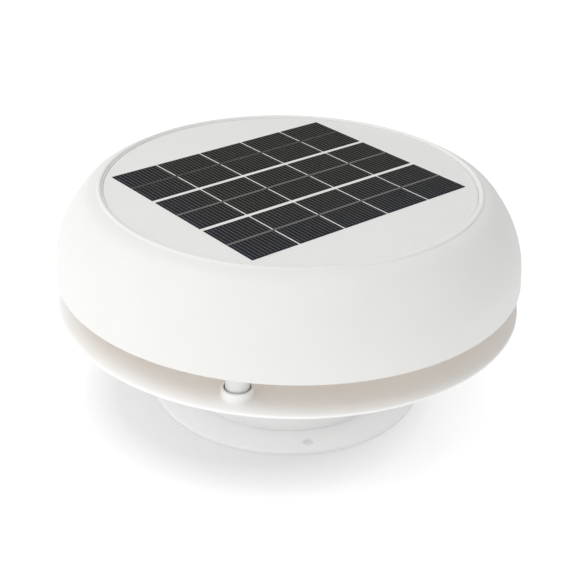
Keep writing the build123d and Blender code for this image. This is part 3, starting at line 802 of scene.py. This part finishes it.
def build_screen():
    """A woven wire mesh held in a ring."""
    bm = bmesh.new()
    middle = (screen_low + screen_high) / 2
    wire = 0.16
    weave = 0.17
    pitch = 2.0
    reach = 51.0
    sides = 5
    count = int(reach / pitch)
    for family in (0, 1):
        for row in range(-count, count + 1):
            at = row * pitch
            half = sqrt(max(reach * reach - at * at, 0))
            steps = max(2, int(2 * half / (pitch / 2)))
            before = None
            for k in range(steps + 1):
                along = -half + 2 * half * k / steps
                lift = weave * cos(pi * along / pitch) * (1 if (row + family) % 2 else -1)
                ring = []
                for s in range(sides):
                    a = 2 * pi * s / sides
                    side, rise = wire * cos(a), wire * sin(a)
                    flat = (along, at + side) if family == 0 else (at + side, along)
                    ring.append(bm.verts.new((*flat, middle + lift + rise)))
                if before:
                    for s in range(sides):
                        n = (s + 1) % sides
                        bm.faces.new((before[s], before[n], ring[n], ring[s]))
                before = ring
    rim_inner, rim_outer = 50.3, 52.2
    rim = [(rim_inner, screen_low, 0.1), (rim_outer, screen_low, 0.1)]
    rim += [(rim_outer, screen_high, 0.1), (rim_inner, screen_high, 0.1)]
    lathe(bm, rounded(rim), 128)
    piece("screen_mesh", bm, mesh_dark, "mount", "black_mesh", "insect_screen", sharp=60)

    bm = bmesh.new()
    ring_outer, chamfer = 52.5, 0.8
    ring = [(flange_bore, screen_high, 0.1), (ring_outer, screen_high, 0.1)]
    ring += [(ring_outer, retainer_high, 0.3), (flange_bore + chamfer, retainer_high, 0.2)]
    ring += [(flange_bore, retainer_high - chamfer, 0.2)]
    lathe(bm, rounded(ring), 192)
    piece("screen_ring", bm, base_white, "mount", "base_plastic", "screen_retainer")


build_screen()

# ---- impeller --------------------------------------------------------------------------------


def blade_section(radius, share, count):
    """Points around a cambered blade section at a radius, rounded at both edges."""
    chord = 15 + 12 * share
    camber = 2.0 + 0.6 * share
    thickness = 1.6 - 0.4 * share
    pitch = radians(42 - 18 * share)
    around = []
    for k in range(2 * count):
        a = 2 * pi * k / (2 * count)
        u = cos(a)
        across = u * chord / 2
        body = camber * (1 - u * u) + thickness / 2
        rise = body + thickness / 2 * sin(a) * (1 - u**8) ** 0.5
        y = across * cos(pitch) - rise * sin(pitch)
        z = across * sin(pitch) + rise * cos(pitch)
        reach = sqrt(max(radius * radius - y * y, 0.0))
        around.append((reach, y, (hub_low + hub_high) / 2 + z))
    return around


def build_impeller():
    bm = bmesh.new()
    bore, sleeve, hollow, rim = 1.2, 4.2, 11.4, 13.0
    hub_floor = hub_low + 6
    hub = [
        (bore, hub_low, 0),
        (rim, hub_low, 4.0),
        (rim, hub_high, 0.8),
        (hollow, hub_high, 0.3),
        (hollow, hub_floor, 0.8),
        (sleeve, hub_floor, 0.8),
        (sleeve, hub_high - 1, 0.3),
        (bore, hub_high - 1, 0),
    ]
    lathe(bm, rounded(hub), 96)
    root, tip, spans, count = 12.2, impeller_radius, 16, 14
    blades = 7
    for b in range(blades):
        turn = Matrix.Rotation(2 * pi * b / blades, 3, "Z")
        rings = []
        for s in range(spans + 1):
            share = s / spans
            radius = root + (tip - root) * share
            shape = blade_section(radius, share, count)
            rings.append([bm.verts.new(turn @ Vector(p)) for p in shape])
        for first, second in zip(rings, rings[1:]):
            for k in range(2 * count):
                n = (k + 1) % (2 * count)
                bm.faces.new((first[k], first[n], second[n], second[k]))
        bm.faces.new(rings[0][::-1])
        bm.faces.new(rings[-1])
    piece("fan_wheel", bm, fan_white, "rotor", "impeller_plastic", "impeller")


build_impeller()

# ---- motor pod -------------------------------------------------------------------------------


def build_pod():
    bm = bmesh.new()
    bottom, top = low("motor_pod", 2), high("motor_pod", 2)
    hole, inner, outer, rim = 3.4, 12.6, 15.2, 31.0
    floor_top = bottom + 2.5
    rim_bottom = top - 3
    outline = [
        (hole, bottom, 0.3),
        (outer, bottom, 1.5),
        (outer, rim_bottom, 1.5),
        (rim, rim_bottom, 0.6),
        (rim, top, 0.4),
        (inner, top, 0.3),
        (inner, floor_top, 0.4),
        (hole, floor_top, 0.2),
    ]
    lathe(bm, rounded(outline), 128)
    piece("pod_shell", bm, pod_white, "vent", "pod_plastic", "motor_pod")


build_pod()

# ---- materials for the CAD nodes that stay -----------------------------------------------------

node_materials = {
    "neck_gasket": rubber_black,
    "panel_seal": foam_black,
    "pod_screws": screw_steel,
    "motor_can": plain_steel,
    "motor_end_cap": dark_plastic,
    "motor_bushes": bush_bronze,
    "motor_magnets": magnet_grey,
    "motor_terminals": contact_brass,
    "motor_screws": screw_steel,
    "motor_shaft": plain_steel,
    "motor_rotor": winding_copper,
    "impeller_nut": dark_plastic,
    "control_case": pod_white,
    "case_screws": screw_steel,
    "circuit_board": board_green,
    "board_components": component_black,
    "switch_body": dark_plastic,
    "switch_button": dark_plastic,
    "battery_case": pod_white,
    "battery_cover": pod_white,
    "battery_cell": cell_sleeve,
    "battery_plate": contact_brass,
    "battery_spring": contact_brass,
    "panel_leads": wire_red,
    "battery_leads": wire_black,
    "motor_leads": wire_red,
}
for name, material in node_materials.items():
    for slot in nodes[name].material_slots:
        slot.material = material
    if not nodes[name].material_slots:
        nodes[name].data.materials.append(material)

# ---- floor, light and camera -------------------------------------------------------------------

floor_half_width = 40000
floor_drop = 0.05
light_target = Vector((0, 0, 0.08))


def build_floor():
    bm = bmesh.new()
    bmesh.ops.create_grid(bm, x_segments=8, y_segments=8, size=floor_half_width)
    bmesh.ops.translate(bm, vec=(0, 0, -floor_drop), verts=bm.verts)
    floor = new_object("floor", finish_mesh(bm, "floor"))
    paint = Paint("floor_paint", Roughness=0.9, Emission_Color=(1, 1, 1, 1))
    paint.shader.inputs["Specular IOR Level"].default_value = 0.1
    # the floor glows less close to the vent, a painted contact shadow round the flange: its glow
    # grows quickly just outside the flange, and then slowly
    shifted = paint.add("ShaderNodeVectorMath", operation="SUBTRACT")
    paint.link(paint.place(), shifted.inputs[0])
    painted_shadow_centre = from_view(-0.02, -0.01, 0)
    shadow_fade_near = (0.075, 0.104)
    shadow_fade_far = (0.098, 0.150)
    shifted.inputs[1].default_value = painted_shadow_centre
    reach = paint.add("ShaderNodeVectorMath", operation="LENGTH")
    paint.link(shifted.outputs[0], reach.inputs[0])
    # near_glow and far_glow lower the floor's glow round the vent: a painted shadow, not cast by
    # the vent
    near_glow = paint.between(reach.outputs["Value"], 0.17, 0.36, *shadow_fade_near)
    far_glow = paint.between(reach.outputs["Value"], 0, 0.2, *shadow_fade_far)
    glow = paint.add("ShaderNodeMath", operation="ADD")
    paint.link(near_glow, glow.inputs[0])
    paint.link(far_glow, glow.inputs[1])
    paint.link(glow.outputs["Value"], paint.shader.inputs["Emission Strength"])
    tone = paint.between(paint.noise(3), 0, 1)
    paint.colour(paint.blend(tone, (0.68, 0.68, 0.68), (0.70, 0.70, 0.70)))
    floor.data.materials.append(paint.material)


def area_light(name, place, size, power, colour=(1, 1, 1)):
    """A soft light, square unless it is changed later, that looks at the vent."""
    data = bpy.data.lights.new(name, "AREA")
    data.shape = "SQUARE"
    data.size = size
    data.energy = power
    data.color = colour
    light = bpy.data.objects.new(name, data)
    bpy.context.scene.collection.objects.link(light)
    light.location = place
    towards = light_target - Vector(place)
    light.rotation_euler = towards.to_track_quat("-Z", "Y").to_euler()
    return light


view_turn = radians(-40.2)
elevation = radians(28.427)
roll = radians(1.5034)
camera_distance = 0.6265
aim_height = 0.0576
image_right = Vector((cos(view_turn), sin(view_turn), 0))
back = Vector((sin(view_turn) * cos(elevation), -cos(view_turn) * cos(elevation), sin(elevation)))
image_up = back.cross(image_right)


def from_view(right, away, up):
    """A place given from the camera's side: to its right, beyond the vent, and up, in metres."""
    ahead = Vector((-sin(view_turn), cos(view_turn), 0))
    return image_right * right + ahead * away + Vector((0, 0, up))


def build_lights():
    world = bpy.data.worlds.new("world")
    bpy.context.scene.world = world
    world.use_nodes = True
    tree = world.node_tree
    sky = tree.nodes["Background"]
    sky.inputs["Color"].default_value = (1, 1, 1, 1)
    # a white room that is brighter on the left, and a little towards the camera and overhead
    mean_strength = 0.64
    side_strength = 0.36
    direction = tree.nodes.new("ShaderNodeTexCoord")
    towards = tree.nodes.new("ShaderNodeVectorMath")
    towards.operation = "DOT_PRODUCT"
    towards.inputs[1].default_value = from_view(-0.85, -0.35, 0.35)
    tree.links.new(direction.outputs["Generated"], towards.inputs[0])
    level = tree.nodes.new("ShaderNodeMath")
    level.operation = "MULTIPLY_ADD"
    level.inputs[1].default_value = side_strength
    level.inputs[2].default_value = mean_strength
    tree.links.new(towards.outputs["Value"], level.inputs[0])
    tree.links.new(level.outputs["Value"], sky.inputs["Strength"])
    key_place = from_view(-0.85, -0.50, 1.95)
    key_width = 1.6
    key_power = 11.5
    area_light("key", key_place, key_width, key_power)
    # a faint warm glow just inside the hood's lip, for the light that bounces off the tray
    glow_height = 0.0785
    glow_width = 0.244
    glow_power = 0.042
    warm = (1.0, 0.85, 0.72)
    glow = area_light("glow", (0, 0, glow_height), glow_width, glow_power, warm)
    glow.data.shape = "DISK"
    glow.rotation_euler = (0, 0, 0)
    glow.visible_camera = False


def build_camera():
    data = bpy.data.cameras.new("camera")
    data.sensor_width = 36.0
    data.lens = 69.85
    data.shift_x = 0.00316
    data.shift_y = -0.00314
    data.clip_start = 0.01
    camera = bpy.data.objects.new("camera", data)
    bpy.context.scene.collection.objects.link(camera)
    side = image_right * cos(roll) + image_up * sin(roll)
    top = image_up * cos(roll) - image_right * sin(roll)
    place = Vector((0, 0, aim_height)) + back * camera_distance
    facing = Matrix((side, top, back)).transposed().to_4x4()
    camera.matrix_world = Matrix.Translation(place) @ facing
    bpy.context.scene.camera = camera


build_floor()
build_lights()
build_camera()
bpy.context.scene.view_settings.view_transform = "Standard"
bpy.context.scene.view_settings.look = "None"
